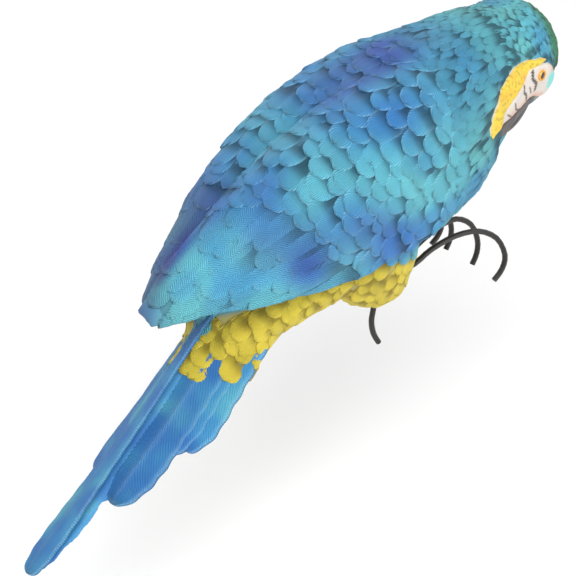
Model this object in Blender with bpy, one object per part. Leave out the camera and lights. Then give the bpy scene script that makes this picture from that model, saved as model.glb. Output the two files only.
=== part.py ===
"""Perching macaw figurine: one hand-painted resin casting on six bent steel wire toes.

Metres, +Z up, the bird faces +X and its left side is +Y. The origin is the middle of
the branch that the toes grip.
"""
import math

import bmesh
import bpy
import numpy as np
from mathutils import Matrix, Vector

MM = 0.001
RESIN_BLUE = (0.03, 0.35, 0.62)
RESIN_ROUGHNESS = 0.6
STEEL_DARK = (0.03, 0.028, 0.026)
STEEL_ROUGHNESS = 0.4
STEEL_METALLIC = 0.9

# Wire toes
WIRE_DIAMETER = 3.0 * MM
SOCKET_CLEARANCE = 0.3 * MM
SOCKET_OVERRUN = 4.0 * MM
FOOT_SPACING = 44.0 * MM
WIRE_STEPS = 3
WIRE_FACET_STEPS = 2
SOCKET_SIDES = 12
# Wire toes as x, distance outward from the foot's middle, z; the first two points are
# the straight end that is cast into the thigh
TOES = {
    "front_outer_toe": ((-34.0, 2.0, 27.0), (-19.0, 2.0, 29.0), (-8.0, 2.0, 33.5), (8.0, 2.0, 36.0),
                        (24.0, 2.0, 33.5), (36.5, 2.5, 25.5), (42.5, 3.0, 14.0), (41.0, 3.0, 6.0),
                        (35.5, 3.0, 1.0)),
    "front_inner_toe": ((-34.0, -5.0, 27.0), (-19.0, -6.0, 29.0), (-7.0, -8.0, 33.0), (7.0, -10.0, 36.5),
                        (20.0, -11.0, 36.5), (31.0, -11.5, 29.5), (36.0, -11.5, 19.0), (36.0, -11.5, 11.0),
                        (33.0, -11.5, 5.0)),
    "rear_toe": ((-40.0, -1.0, 27.0), (-44.0, 0.0, 10.5), (-45.5, 0.5, 4.0), (-44.5, 1.0, -3.0),
                 (-41.0, 1.0, -9.5)),
}

# Carved plumage
COLUMNS_PER_FEATHER = 4
SCALLOP_REACH = 0.55
NOTCH_SHARE = 0.25
BODY_ROWS = 14
BODY_FEATHERS = 16
BODY_LIFT = 1.5 * MM
NECK_ROWS = 6
NECK_FEATHERS = 14
NECK_LIFT = 1.0 * MM
HEAD_ROWS = (0.0, 0.12, 0.24, 0.36, 0.48, 0.6, 0.72, 0.84, 1.0)
HEAD_FEATHERS = 13
HEAD_LIFT = 1.0 * MM
WING_FEATHERS = 7
WING_LIFT = 1.7 * MM
THIGH_ROWS = 6
THIGH_FEATHERS = 5
THIGH_LIFT = 1.2 * MM
FLANK_ROWS = 6
FLANK_FEATHERS = 5
FLANK_LIFT = 1.2 * MM

# Head, bowed and turned a little to the bird's left
HEAD_PLACE = Vector((60.5, 2.5, 110.8)) * MM
HEAD_YAW = math.radians(15.0)
HEAD_PITCH = math.radians(56.0)
# Bare face, as shares of the head's length and of half a turn from the crown
FACE_LENGTH = 0.42
FACE_TURN = 0.24
FACE_LIFT_SHARE = 0.15
# Head stations from the nape to the face: x, half width, half height, middle z
HEAD = np.array([
    (-30.0, 12.0, 13.0, 0.0),
    (-22.0, 22.0, 24.0, 0.0),
    (-8.0, 28.0, 28.5, 1.0),
    (6.0, 26.5, 27.0, 2.0),
    (16.0, 23.0, 23.5, 1.5),
    (23.0, 17.5, 18.0, 0.0),
    (27.0, 12.0, 12.0, -2.0),
]) * MM
# Beak stations from base to tip in the head's frame: x, z, half width, half height
UPPER_BEAK = np.array([
    (12.0, -4.0, 14.0, 13.0),
    (21.0, -6.0, 12.5, 12.0),
    (26.5, -11.0, 10.5, 10.0),
    (28.5, -19.0, 8.0, 8.0),
    (25.5, -27.0, 4.5, 5.0),
    (20.5, -31.5, 1.2, 1.8),
]) * MM
LOWER_BEAK = np.array([
    (6.0, -14.0, 13.0, 9.5),
    (12.0, -20.0, 10.5, 8.0),
    (16.0, -25.0, 7.5, 5.0),
    (18.0, -28.5, 3.5, 2.2),
]) * MM
BEAK_SIDES = 16
BEAK_STATIONS = 11

# Neck between the shoulders and the head: x, y, z, half width, half height
NECK = np.array([
    (4.0, 0.0, 97.0, 38.0, 43.0),
    (24.0, 0.5, 101.0, 35.5, 42.0),
    (42.0, 1.0, 107.5, 30.0, 36.5),
    (56.0, 2.0, 111.0, 27.0, 31.0),
    (68.0, 2.5, 111.0, 20.0, 22.0),
    (73.0, 2.5, 111.0, 8.0, 9.0),
]) * MM

# Trunk stations from neck to tail root: back line x, z, belly line x, z, half width
TRUNK = np.array([
    (60.0, 124.0, 50.0, 86.0, 13.0),
    (42.0, 136.0, 34.0, 74.0, 24.5),
    (16.0, 142.0, 24.0, 54.0, 40.0),
    (-20.0, 138.0, 0.0, 39.0, 44.0),
    (-54.0, 125.0, -32.0, 28.0, 42.0),
    (-86.0, 103.0, -64.0, 21.0, 37.0),
    (-110.0, 86.0, -96.0, 15.0, 27.0),
    (-128.0, 58.0, -124.0, 11.0, 15.0),
    (-136.0, 36.0, -134.0, 9.0, 7.0),
]) * MM

# Thigh stations from the body down to the foot: x, z, half length, half width
THIGH = np.array([
    (-48.0, 64.0, 29.0, 20.0),
    (-49.0, 48.0, 30.0, 19.0),
    (-48.0, 34.0, 26.0, 16.0),
    (-45.0, 23.0, 20.0, 12.0),
    (-41.0, 15.0, 11.0, 7.0),
]) * MM

# Yellow coverts on each side of the tail root: x, y, z, half width, half height
FLANK = np.array([
    (-62.0, 22.0, 44.0, 14.0, 14.0),
    (-84.0, 21.0, 39.0, 13.0, 14.0),
    (-106.0, 17.0, 30.5, 12.0, 13.5),
    (-122.0, 13.5, 22.0, 9.0, 11.0),
    (-134.0, 11.0, 14.0, 5.0, 6.0),
]) * MM

# Wing stations from shoulder to tip: x, hump centre y, z, half width, half height,
# first and last angle round the section in degrees, 0 being straight up, wall thickness;
# the wall reaches deep into the trunk in front and is clear of it behind
WING = np.array([
    (22.0, 12.0, 92.0, 21.0, 38.0, 14.0, 104.0, 12.0),
    (4.0, 13.0, 88.0, 29.0, 46.0, 4.0, 112.0, 17.0),
    (-20.0, 14.0, 83.0, 34.5, 53.5, -8.0, 117.0, 20.0),
    (-50.0, 14.5, 77.0, 35.0, 53.0, -18.0, 119.0, 20.0),
    (-80.0, 15.0, 69.0, 32.0, 51.5, -25.0, 115.0, 18.0),
    (-110.0, 14.0, 61.5, 26.0, 42.5, -32.0, 111.0, 7.0),
    (-138.0, 11.0, 53.0, 20.0, 29.0, -36.0, 104.0, 5.0),
    (-160.0, 6.0, 44.0, 14.0, 16.5, -38.0, 90.0, 5.0),
    (-174.0, 3.0, 37.0, 10.0, 8.5, -36.0, 70.0, 4.25),
]) * MM
WING[:, 5:7] /= MM
WING_ROWS = (0.0, 0.09, 0.18, 0.27, 0.36, 0.46, 0.57, 0.70, 0.86, 1.0)
# The left wing and tail feathers are a little shorter than the right ones
LEFT_SHARE = 0.94
SIDES = ((-1, "right", 1.0), (1, "left", LEFT_SHARE))
INSIDE_STEP = 0.12

# Tail: ridge line from the root to the tip as x, z
TAIL_RIDGE = np.array([(-98.0, 60.0), (-135.0, 25.5), (-172.0, -11.5), (-208.0, -45.0), (-243.0, -77.0)]) * MM
RIDGE_STEP_SHARE = 0.02
TAIL_ROOT_SLOPE = math.radians(36.0)
TAIL_TIP_SLOPE = math.radians(8.0)
# The feathers fan out from this share of their offset until this share of the length
TAIL_ROOT_SPREAD = 0.82
TAIL_SPREAD_END = 0.45
# Tail feathers of one side, outer first: share of the length, offset along the slope,
# half width, depth below the ridge
TAIL_FEATHERS = (
    (0.52, 26.0 * MM, 8.0 * MM, 3.4 * MM),
    (0.55, 20.0 * MM, 8.5 * MM, 2.3 * MM),
    (0.73, 13.5 * MM, 11.0 * MM, 1.2 * MM),
)
CENTRE_HALF_WIDTH = 10.5 * MM
TAIL_THICKNESS = 7.0 * MM
TAIL_THIN_SHARE = 0.35
SHAFT_HEIGHT = 0.9 * MM
TAIL_STATIONS = 12
STATION_CROWDING = 1.6
TIP_SHARE = 0.18
TIP_BLUNTNESS = 0.08


def clear_scene():
    for item in list(bpy.data.objects):
        bpy.data.objects.remove(item, do_unlink=True)


def make_collection(name):
    group = bpy.data.collections.new(name)
    bpy.context.scene.collection.children.link(group)
    return group


def make_material(name, colour, roughness, metallic=0.0):
    material = bpy.data.materials.new(name)
    material.use_nodes = True
    shader = material.node_tree.nodes["Principled BSDF"]
    shader.inputs["Base Color"].default_value = (*colour, 1.0)
    shader.inputs["Roughness"].default_value = roughness
    shader.inputs["Metallic"].default_value = metallic
    return material


def along(table, share):
    """Smooth value of a station table at share 0 to 1 of its length."""
    last = len(table) - 1
    place = min(max(share, 0.0), 1.0) * last
    i = min(int(place), last - 1)
    f = place - i
    before = table[max(i - 1, 0)]
    after = table[min(i + 2, last)]
    a, b = table[i], table[i + 1]
    return 0.5 * (2 * a + (b - before) * f + (2 * before - 5 * a + 4 * b - after) * f ** 2
                  + (3 * a - before - 3 * b + after) * f ** 3)


def mesh_object(name, rings, collection):
    """Closed skin over equal rings of points, with fans over both ends."""
    count = len(rings[0])
    points = [tuple(p) for ring in rings for p in ring]
    faces = []
    for i in range(len(rings) - 1):
        for j in range(count):
            k = (j + 1) % count
            faces.append((i * count + j, i * count + k, (i + 1) * count + k, (i + 1) * count + j))
    first = tuple(range(count - 1, -1, -1))
    last = tuple(range((len(rings) - 1) * count, len(rings) * count))
    for end in (first, last):
        middle = sum((Vector(points[v]) for v in end), Vector()) / count
        points.append(tuple(middle))
        for j in range(count):
            faces.append((end[j], end[(j + 1) % count], len(points) - 1))
    mesh = bpy.data.meshes.new(name)
    mesh.from_pydata(points, [], faces)
    mesh.update()
    thing = bpy.data.objects.new(name, mesh)
    collection.objects.link(thing)
    return thing


def scallop(column, columns, feathers, stagger):
    """1 at a feather's tip, 0 in the notch beside it."""
    turn = column / columns * feathers + (0.5 if stagger else 0.0)
    return abs(math.sin(math.pi * turn))


def shingle(surface, rows, feathers, lift, cover=None):
    """Rings of overlapping feather rows on surface(share, turn) -> point, outward."""
    columns = feathers * COLUMNS_PER_FEATHER
    rings = []

    def ring(i, raised):
        points = []
        stagger = i % 2 == 1
        ahead = rows[min(i + 1, len(rows) - 1)] - rows[i]
        behind = rows[i] - rows[max(i - 1, 0)]
        row = min(ahead, behind)
        for j in range(columns):
            tip = scallop(j, columns, feathers, stagger)
            share = rows[i] + (tip - 0.5) * SCALLOP_REACH * row
            point, outward = surface(share, j / columns)
            height = 0.0
            if raised:
                height = lift * (NOTCH_SHARE + (1 - NOTCH_SHARE) * tip)
                if cover:
                    height *= cover(share, j / columns)
            points.append(point + outward * height)
        return points

    rings.append(ring(0, False))
    for i in range(1, len(rows)):
        if i < len(rows) - 1:
            rings.append(ring(i, True))
        rings.append(ring(i, False))
    return rings


def trunk_surface(share, turn):
    """Point and outward direction on the trunk, turn 0 at the back line."""
    back_x, back_z, belly_x, belly_z, half_width = along(TRUNK, share)
    back = Vector((back_x, 0.0, back_z))
    belly = Vector((belly_x, 0.0, belly_z))
    middle = (back + belly) / 2
    up = (back - belly) / 2
    angle = 2 * math.pi * turn
    offset = up * math.cos(angle) + Vector((0.0, half_width * math.sin(angle), 0.0))
    return middle + offset, offset.normalized()


def make_trunk(collection):
    rings = shingle(trunk_surface, np.linspace(0.0, 1.0, BODY_ROWS), BODY_FEATHERS, BODY_LIFT)
    return mesh_object("trunk", rings, collection)


def head_matrix():
    turn = Matrix.Rotation(HEAD_YAW, 4, "Z") @ Matrix.Rotation(HEAD_PITCH, 4, "Y")
    return Matrix.Translation(HEAD_PLACE) @ turn


def head_surface(share, turn):
    """Share 0 at the face, 1 at the nape, in the head's own frame."""
    x, half_width, half_height, middle_z = along(HEAD, 1.0 - share)
    angle = 2 * math.pi * turn
    offset = Vector((0.0, half_width * math.sin(angle), half_height * math.cos(angle)))
    return Vector((x, 0.0, middle_z)) + offset, offset.normalized()


def head_cover(share, turn):
    """Bare face: no feathers stand up in front of the cheeks."""
    side = abs(((turn * 2 + 1) % 2) - 1)
    return FACE_LIFT_SHARE if share < FACE_LENGTH and side > FACE_TURN else 1.0


def make_head(collection):
    rings = shingle(head_surface, HEAD_ROWS, HEAD_FEATHERS, HEAD_LIFT, head_cover)
    rings.reverse()
    head = mesh_object("head", rings, collection)
    head.data.transform(head_matrix())
    return head


def upright_surface(stations, share, turn, side=1):
    """Point and outward direction on a form made of upright elliptic sections."""
    x, y, z, half_width, half_height = along(stations, share)
    angle = 2 * math.pi * turn
    offset = Vector((0.0, half_width * math.sin(angle), half_height * math.cos(angle)))
    return Vector((x, side * y, z)) + offset, offset.normalized()


def make_neck(collection):
    rings = shingle(lambda share, turn: upright_surface(NECK, share, turn),
                    np.linspace(0.0, 1.0, NECK_ROWS), NECK_FEATHERS, NECK_LIFT)
    return mesh_object("neck", rings, collection)


def tube(path, half_widths, half_heights, sides):
    """Rings of an elliptic tube along a path in the head's XZ plane."""
    rings = []
    for i, place in enumerate(path):
        ahead = Vector(path[min(i + 1, len(path) - 1)])
        behind = Vector(path[max(i - 1, 0)])
        run = (ahead - behind).normalized()
        up = Vector((-run.z, 0.0, run.x))
        ring = []
        for j in range(sides):
            angle = 2 * math.pi * j / sides
            ring.append(Vector(place) + up * half_heights[i] * math.cos(angle)
                        + Vector((0.0, half_widths[i] * math.sin(angle), 0.0)))
        rings.append(ring)
    return rings


def make_beak(name, stations, collection):
    table = [along(stations, i / (BEAK_STATIONS - 1)) for i in range(BEAK_STATIONS)]
    path = [Vector((row[0], 0.0, row[1])) for row in table]
    rings = tube(path, [row[2] for row in table], [row[3] for row in table], BEAK_SIDES)
    beak = mesh_object(name, rings, collection)
    beak.data.transform(head_matrix())
    return beak


def wing_surface(share, across, side, inside, reach):
    """Point and outward direction on one wing, across 0 at the back, 1 at the lower edge."""
    x, y, z, half_width, half_height, first, last, wall = along(WING, share)
    start = WING[0][0]
    x = start + (x - start) * reach
    angle = math.radians(first + (last - first) * across)
    out = Vector((0.0, side * math.sin(angle), math.cos(angle)))
    width = half_width - (wall if inside else 0.0)
    height = half_height - (wall if inside else 0.0)
    point = Vector((x, side * (y + width * math.sin(angle)), z + height * math.cos(angle)))
    return point, out


def wing_ring(i, raised, side, reach):
    """One closed section: the feathered outside, then the plain inside."""
    columns = WING_FEATHERS * COLUMNS_PER_FEATHER
    rows = WING_ROWS
    ahead = rows[min(i + 1, len(rows) - 1)] - rows[i]
    behind = rows[i] - rows[max(i - 1, 0)]
    row = min(ahead, behind) if 0 < i < len(rows) - 1 else 0.0
    outer = []
    inner = []
    for j in range(columns + 1):
        tip = scallop(j, columns, WING_FEATHERS, i % 2 == 1)
        share = rows[i] + (tip - 0.5) * SCALLOP_REACH * row
        point, out = wing_surface(share, j / columns, side, False, reach)
        height = WING_LIFT * (NOTCH_SHARE + (1 - NOTCH_SHARE) * tip) if raised else 0.0
        outer.append(point + out * height)
        if j % COLUMNS_PER_FEATHER == 0:
            inside = share + (-INSIDE_STEP if raised else INSIDE_STEP) * row
            inner.append(wing_surface(inside, j / columns, side, True, reach)[0])
    return outer + inner[::-1]


def make_wing(name, side, reach, collection):
    rings = [wing_ring(0, False, side, reach)]
    for i in range(1, len(WING_ROWS)):
        if i < len(WING_ROWS) - 1:
            rings.append(wing_ring(i, True, side, reach))
        rings.append(wing_ring(i, False, side, reach))
    if side > 0:
        rings.reverse()
    return mesh_object(name, rings, collection)


def tail_point(share, side, slope_offset, depth):
    """Point on the tail's roof: slope_offset down one side of the ridge, depth below it."""
    x, z = along(TAIL_RIDGE, share)
    before = along(TAIL_RIDGE, share - RIDGE_STEP_SHARE)
    after = along(TAIL_RIDGE, share + RIDGE_STEP_SHARE)
    run = Vector((after[0] - before[0], 0.0, after[1] - before[1])).normalized()
    normal = Vector((run.z, 0.0, -run.x))
    slope = TAIL_ROOT_SLOPE + (TAIL_TIP_SLOPE - TAIL_ROOT_SLOPE) * share ** 3
    down_slope = Vector((0.0, side * math.cos(slope), 0.0)) - normal * math.sin(slope)
    spread = TAIL_ROOT_SPREAD + (1 - TAIL_ROOT_SPREAD) * min(share / TAIL_SPREAD_END, 1.0)
    return Vector((x, 0.0, z)) + down_slope * slope_offset * spread - normal * depth


def feather_station(i):
    """Share of a blade's length at station i, with its tip's roundness and thickness."""
    f = 1 - (1 - i / (TAIL_STATIONS - 1)) ** STATION_CROWDING
    left = min((1 - f) / TIP_SHARE, 1.0)
    roundness = max(math.sqrt(1 - (1 - left) ** 2), TIP_BLUNTNESS)
    thickness = TAIL_THICKNESS * (TAIL_THIN_SHARE + (1 - TAIL_THIN_SHARE) * (1 - f))
    return f, roundness, thickness


def make_tail_feather(name, side, reach, feather, collection):
    """A long blade with a raised shaft and a rounded tip, lying on one slope of the roof."""
    length, offset, half_width, depth = feather
    rings = []
    for i in range(TAIL_STATIONS):
        f, roundness, thickness = feather_station(i)
        width = half_width * roundness
        crown = SHAFT_HEIGHT * roundness
        profile = (
            (offset - width, depth), (offset, depth - crown), (offset + width, depth),
            (offset + width, depth + thickness), (offset - width, depth + thickness),
        )
        rings.append([tail_point(f * length * reach, side, a, b) for a, b in profile])
    return mesh_object(name, rings, collection)


def make_centre_feather(name, collection):
    """The longest blade: it lies over the ridge and forms the tail's tip."""
    rings = []
    for i in range(TAIL_STATIONS):
        f, roundness, thickness = feather_station(i)
        width = CENTRE_HALF_WIDTH * roundness
        rings.append([
            tail_point(f, -1, width, 0.0), tail_point(f, 1, 0.0, -SHAFT_HEIGHT * roundness),
            tail_point(f, 1, width, 0.0), tail_point(f, 1, width, thickness),
            tail_point(f, 1, 0.0, thickness), tail_point(f, -1, width, thickness),
        ])
    return mesh_object(name, rings, collection)


def thigh_surface(share, turn, side):
    x, z, half_length, half_width = along(THIGH, share)
    angle = 2 * math.pi * turn
    offset = Vector((half_length * math.cos(angle), half_width * math.sin(angle), 0.0))
    return Vector((x, side * FOOT_SPACING / 2, z)) + offset, offset.normalized()


def make_thigh(name, side, collection):
    rings = shingle(lambda share, turn: thigh_surface(share, turn, side),
                    np.linspace(0.0, 1.0, THIGH_ROWS), THIGH_FEATHERS, THIGH_LIFT)
    return mesh_object(name, rings, collection)


def make_flank(name, side, collection):
    rings = shingle(lambda share, turn: upright_surface(FLANK, share, turn, side),
                    np.linspace(0.0, 1.0, FLANK_ROWS), FLANK_FEATHERS, FLANK_LIFT)
    return mesh_object(name, rings, collection)


def smooth_route(points):
    """Points of a smooth bend through the given ones, after a straight first stretch."""
    table = np.array([tuple(p) for p in points])
    route = [Vector(table[0])]
    bends = len(table) - 1
    steps = (bends - 1) * WIRE_STEPS
    for i in range(steps + 1):
        route.append(Vector(along(table, (1 + i / WIRE_STEPS) / bends)))
    return route


def toe_points(toe, side):
    return [Vector((x, side * (FOOT_SPACING / 2 / MM + out), z)) * MM for x, out, z in TOES[toe]]


def make_toe(name, toe, side, material, collection):
    route = smooth_route(toe_points(toe, side))
    curve = bpy.data.curves.new(name, "CURVE")
    curve.dimensions = "3D"
    curve.bevel_depth = WIRE_DIAMETER / 2
    curve.bevel_resolution = WIRE_FACET_STEPS
    curve.use_fill_caps = True
    spline = curve.splines.new("POLY")
    spline.points.add(len(route) - 1)
    for point, place in zip(spline.points, route):
        point.co = (*place, 1.0)
    curve.materials.append(material)
    wire = bpy.data.objects.new(name, curve)
    collection.objects.link(wire)
    return wire


def make_socket(name, toe, side, collection):
    """Blind hole for the wire's straight end."""
    start, mouth = toe_points(toe, side)[:2]
    run = (mouth - start).normalized()
    start = start - run * SOCKET_CLEARANCE
    mouth = mouth + run * SOCKET_OVERRUN
    bpy.ops.mesh.primitive_cylinder_add(vertices=SOCKET_SIDES, radius=WIRE_DIAMETER / 2 + SOCKET_CLEARANCE,
                                        depth=(mouth - start).length, location=(start + mouth) / 2,
                                        rotation=run.to_track_quat("Z", "Y").to_euler())
    socket = bpy.context.object
    socket.name = name
    for group in list(socket.users_collection):
        group.objects.unlink(socket)
    collection.objects.link(socket)
    return socket


def combine(base, group, operation):
    """Live Boolean with every helper in the group; the exact kind leaves open edges here."""
    step = base.modifiers.new(group.name, "BOOLEAN")
    step.operation = operation
    step.solver = "MANIFOLD"
    step.operand_type = "COLLECTION"
    step.collection = group


def as_helper(thing):
    thing.hide_render = True
    thing.display_type = "WIRE"


def face_outward(thing):
    work = bmesh.new()
    work.from_mesh(thing.data)
    bmesh.ops.recalc_face_normals(work, faces=work.faces)
    work.to_mesh(thing.data)
    work.free()


def make_forms(group):
    """Everything that is cast in one with the trunk."""
    forms = [
        make_neck(group),
        make_head(group),
        make_beak("upper_beak", UPPER_BEAK, group),
        make_beak("lower_beak", LOWER_BEAK, group),
        make_centre_feather("centre_tail_feather", group),
    ]
    for side, label, reach in SIDES:
        forms.append(make_thigh(label + "_thigh", side, group))
        forms.append(make_flank(label + "_flank", side, group))
        forms.append(make_wing(label + "_wing", side, reach, group))
        for i, feather in enumerate(TAIL_FEATHERS):
            forms.append(make_tail_feather(f"{label}_tail_feather_{i + 1}", side, reach, feather, group))
    return forms


def make_casting(parts):
    resin = make_material("painted_resin", RESIN_BLUE, RESIN_ROUGHNESS)
    forms = make_collection("casting_forms")
    sockets = make_collection("wire_sockets")
    casting = make_trunk(parts)
    casting.name = "macaw_casting"
    casting.data.materials.append(resin)
    face_outward(casting)
    for form in make_forms(forms):
        form.data.materials.append(resin)
        face_outward(form)
        as_helper(form)
    for side, label, _ in SIDES:
        for toe in TOES:
            as_helper(make_socket(f"{label}_{toe}_socket", toe, side, sockets))
    combine(casting, forms, "UNION")
    combine(casting, sockets, "DIFFERENCE")


def make_wires(parts):
    steel = make_material("dark_steel", STEEL_DARK, STEEL_ROUGHNESS, STEEL_METALLIC)
    for side, label, _ in SIDES:
        for toe in TOES:
            make_toe(f"{label}_{toe}", toe, side, steel, parts)


def main():
    clear_scene()
    parts = make_collection("macaw_figurine")
    make_casting(parts)
    make_wires(parts)


main()
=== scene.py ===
"""Looks of the perching macaw: carved and painted feathers over the cast form.

Metres, +Z up, the bird faces +X; the tables and the working arrays are in millimetres.
"""
import math
import random
from dataclasses import dataclass

import bpy
import numpy as np
from mathutils import Matrix, Vector, noise
from mathutils.bvhtree import BVHTree


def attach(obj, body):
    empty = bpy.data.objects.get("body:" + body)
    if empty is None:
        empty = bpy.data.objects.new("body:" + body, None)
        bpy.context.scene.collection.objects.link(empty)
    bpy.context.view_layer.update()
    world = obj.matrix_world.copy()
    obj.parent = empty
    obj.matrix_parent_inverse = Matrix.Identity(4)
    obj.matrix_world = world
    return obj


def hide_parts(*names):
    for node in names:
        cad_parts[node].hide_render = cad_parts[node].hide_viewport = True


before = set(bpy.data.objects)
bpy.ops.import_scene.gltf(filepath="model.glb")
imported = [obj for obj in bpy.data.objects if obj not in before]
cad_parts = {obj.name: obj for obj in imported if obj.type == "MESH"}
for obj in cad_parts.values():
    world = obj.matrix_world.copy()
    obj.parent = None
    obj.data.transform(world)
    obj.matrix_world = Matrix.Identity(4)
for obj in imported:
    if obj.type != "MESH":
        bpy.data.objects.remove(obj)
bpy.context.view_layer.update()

MM = 0.001
CASTING = "macaw_casting"
SEED = 7
# Each side of the bird: sign of y, name
SIDES = ((-1, "right"), (1, "left"))
SKIN_VOXEL = 1.6
SKIN_ROUNDS = 14
SKIN_EASE = 0.5
SKIN_INSET = 0.7

# Camera, matched to the photograph
VIEW_AZIMUTH = math.radians(-38.0)
VIEW_ELEVATION = math.radians(29.5)
VIEW_TARGET = Vector((-81.487, 0.0, 25.985)) * MM
VIEW_DISTANCE = 1.28
VIEW_LENS = 160.0
VIEW_SENSOR = 36.0
VIEW_CLIP = 0.01

# Places and lines of the cast form that the feathers follow
HEAD_PLACE = np.array((60.5, 2.5, 110.8))
HEAD_YAW = math.radians(15.0)
HEAD_PITCH = math.radians(56.0)
BEAK_ROOT = np.array((70.0, 4.0, 88.0))
WING_GATHER = np.array((-260.0, 4.0, 5.0))
# Feathers point away from the beak in front of these x, and to the wings' tips behind
BEAK_FLOW_EDGE = (25.0, 50.0)
# Way of the breast's feathers, and what is added to it under the tail
BREAST_WAY = np.array((-0.35, 0.0, -0.9))
UNDERTAIL_TURN = np.array((-0.45, 0.0, 0.35))
UNDERTAIL_EDGE = (-40.0, -95.0)
UPPER_BEAK = np.array([
    (12.0, -4.0, 14.0, 13.0), (21.0, -6.0, 12.5, 12.0), (26.5, -11.0, 10.5, 10.0),
    (28.5, -19.0, 8.0, 8.0), (25.5, -27.0, 4.5, 5.0), (20.5, -31.5, 1.2, 1.8),
])
LOWER_BEAK = np.array([
    (6.0, -14.0, 13.0, 9.5), (12.0, -20.0, 10.5, 8.0), (16.0, -25.0, 7.5, 5.0), (18.0, -28.5, 3.5, 2.2),
])
TAIL_RIDGE = np.array([(-98.0, 60.0), (-135.0, 25.5), (-172.0, -11.5), (-208.0, -45.0), (-243.0, -77.0)])
TAIL_ROOT_SLOPE = math.radians(36.0)
TAIL_TIP_SLOPE = math.radians(8.0)
TAIL_ROOT_SPREAD = 0.82
TAIL_SPREAD_END = 0.45
TAIL_TIP_SHARE = 0.18
TAIL_RUN_STEP = 0.02
TAIL_LENGTH = 200.0
# Tail feathers: share of the length, offset from the ridge, half width, depth below the ridge
TAIL_BLADES = ((0.52, 26.0, 8.0, 3.4), (0.55, 20.0, 8.5, 2.3), (0.73, 13.5, 11.0, 1.2))
CENTRE_BLADE = (1.0, 0.0, 10.5, 0.0)
LEFT_SHARE = 0.94
BLADE_ROWS = 120
BLADE_COLUMNS = 21
BLADE_CROWDING = 1.25
BLADE_START = 0.13
INNER_START = 0.30
START_PER_MM = 0.0065
BLADE_PROUD = 0.3
BLADE_SHAFT = 0.9
BLADE_RIB = 0.35
BLADE_RIB_WIDTH = 0.07
BLADE_PITCH = 1.25
BLADE_BARB_SLANT = 1.3
BLADE_BARB_HEIGHT = 0.09
BLADE_EDGE_DROP = 0.5
BLADE_NICK = 0.35
BLADE_NICK_PITCH = 0.55
BLADE_SKIRT = 2.2
BLADE_SHADE = 0.8
BLADE_BLUE = 0.45
BLADE_BLUE_EDGE = (0.0, 0.5)

# Middle line of the neck, body and wings: x, z
SPINE = np.array([
    (60.0, 110.0), (40.0, 103.0), (22.0, 95.0), (4.0, 88.0), (-20.0, 83.0), (-50.0, 77.0),
    (-80.0, 69.0), (-110.0, 61.5), (-138.0, 53.0), (-160.0, 44.0), (-176.0, 36.0),
])
# Where blue turns to yellow: x, angle from straight up round the middle line, in degrees
COLOUR_EDGE = np.array([
    (60.0, 100.0), (45.0, 135.0), (30.0, 150.0), (10.0, 148.0), (-9.0, 140.0), (-35.0, 126.0), (-50.0, 119.0),
    (-80.0, 115.0), (-110.0, 111.0), (-138.0, 104.0), (-160.0, 92.0), (-176.0, 72.0),
])
# Highest yellow, which keeps it off the underside of the wings: x, z
YELLOW_TOP = np.array([
    (0.0, 200.0), (-60.0, 60.0), (-100.0, 46.0), (-120.0, 37.0), (-136.0, 33.0), (-142.0, 12.0),
    (-150.0, -60.0),
])
# Soft edges of the yellow: degrees past the line above, mm below the highest yellow
YELLOW_EDGE = (-2.0, 3.0)
YELLOW_TOP_EDGE = (0.0, 3.0)
# The tail's paint starts on a line that slants forward to the sides
TAIL_SLANT = 1.1
TAIL_EDGE = (-151.0, -155.0)
TAIL_ROOF = 9.0
TAIL_ROOF_EDGE = (0.0, 4.0)

# Regions of the feathers along x, which overlap a little
HEAD_FROM = 32.0
NECK_TO = 46.0
NECK_FROM = 4.0
COVERT_TO = 6.0
PLUME_OVERLAP = 8.0
WING_REAR = -176.0
BREAST_FROM = -92.0
UNDERTAIL_TO = -88.0
UNDERTAIL_END = -148.0
# The coverts end at this x on top of the back, and further forward at the stated angle down the side
COVERT_END = -122.0
COVERT_END_SHIFT = 60.0
COVERT_END_ANGLE = 115.0
# A plume is cut to end at the wing's tip
WING_TIP = -186.0
PLUME_SHORTEST = 14.0
PLUME_SLANT = 1.25
# Yellow feathers stay in front of this x and above these z, the second behind the thighs
YELLOW_FRONT = 50.0
YELLOW_LOWEST = 6.0
THIGH_REAR = -104.0
REAR_LOWEST = 11.0
# How far a feather's end may reach into the face
FACE_OVERLAP = 2.0

# Paint, as red, green, blue from 0 to 255
TURQUOISE = (106, 200, 214)
SEA_GREEN = (118, 204, 200)
SKY = (70, 156, 212)
BLUE = (50, 120, 202)
VIOLET = (54, 84, 178)
PURPLE = (66, 60, 132)
LEAF_GREEN = (70, 152, 84)
YELLOW = (250, 228, 78)
OLIVE = (168, 152, 52)
AMBER = (222, 168, 40)
BAND_YELLOW = (220, 190, 42)
CREAM = (204, 199, 193)
PINK = (208, 160, 134)
BEAK_GREY = (54, 52, 56)
INK = (48, 42, 44)
EYE_RING = (222, 160, 48)
EYE_BROWN = (50, 28, 20)
# Clouds over a paint: colour, size, seed, edges of the cloud, share
BACK_CLOUDS = ((SKY, 26.0, 0.0, (-0.1, 0.5), 0.75), (SEA_GREEN, 30.0, 9.0, (0.0, 0.6), 0.7))
YELLOW_CLOUDS = ((AMBER, 12.0, 3.0, (0.1, 0.7), 0.4), (OLIVE, 16.0, 5.0, (0.15, 0.7), 0.3))
TAIL_CLOUDS = ((TURQUOISE, 20.0, 4.0, (0.0, 0.5), 0.6), (BLUE, 15.0, 6.0, (-0.25, 0.35), 0.85))
PATCH_CLOUD = 26.0
# Washes over the back: colour, share, edges along x and z
BACK_WASHES = (
    (SKY, 0.7, (-95.0, -120.0), (70.0, 95.0)),
    (SEA_GREEN, 0.4, (-120.0, -150.0), (62.0, 48.0)),
    (SKY, 0.55, (30.0, 5.0), (92.0, 126.0)),
)
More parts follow.
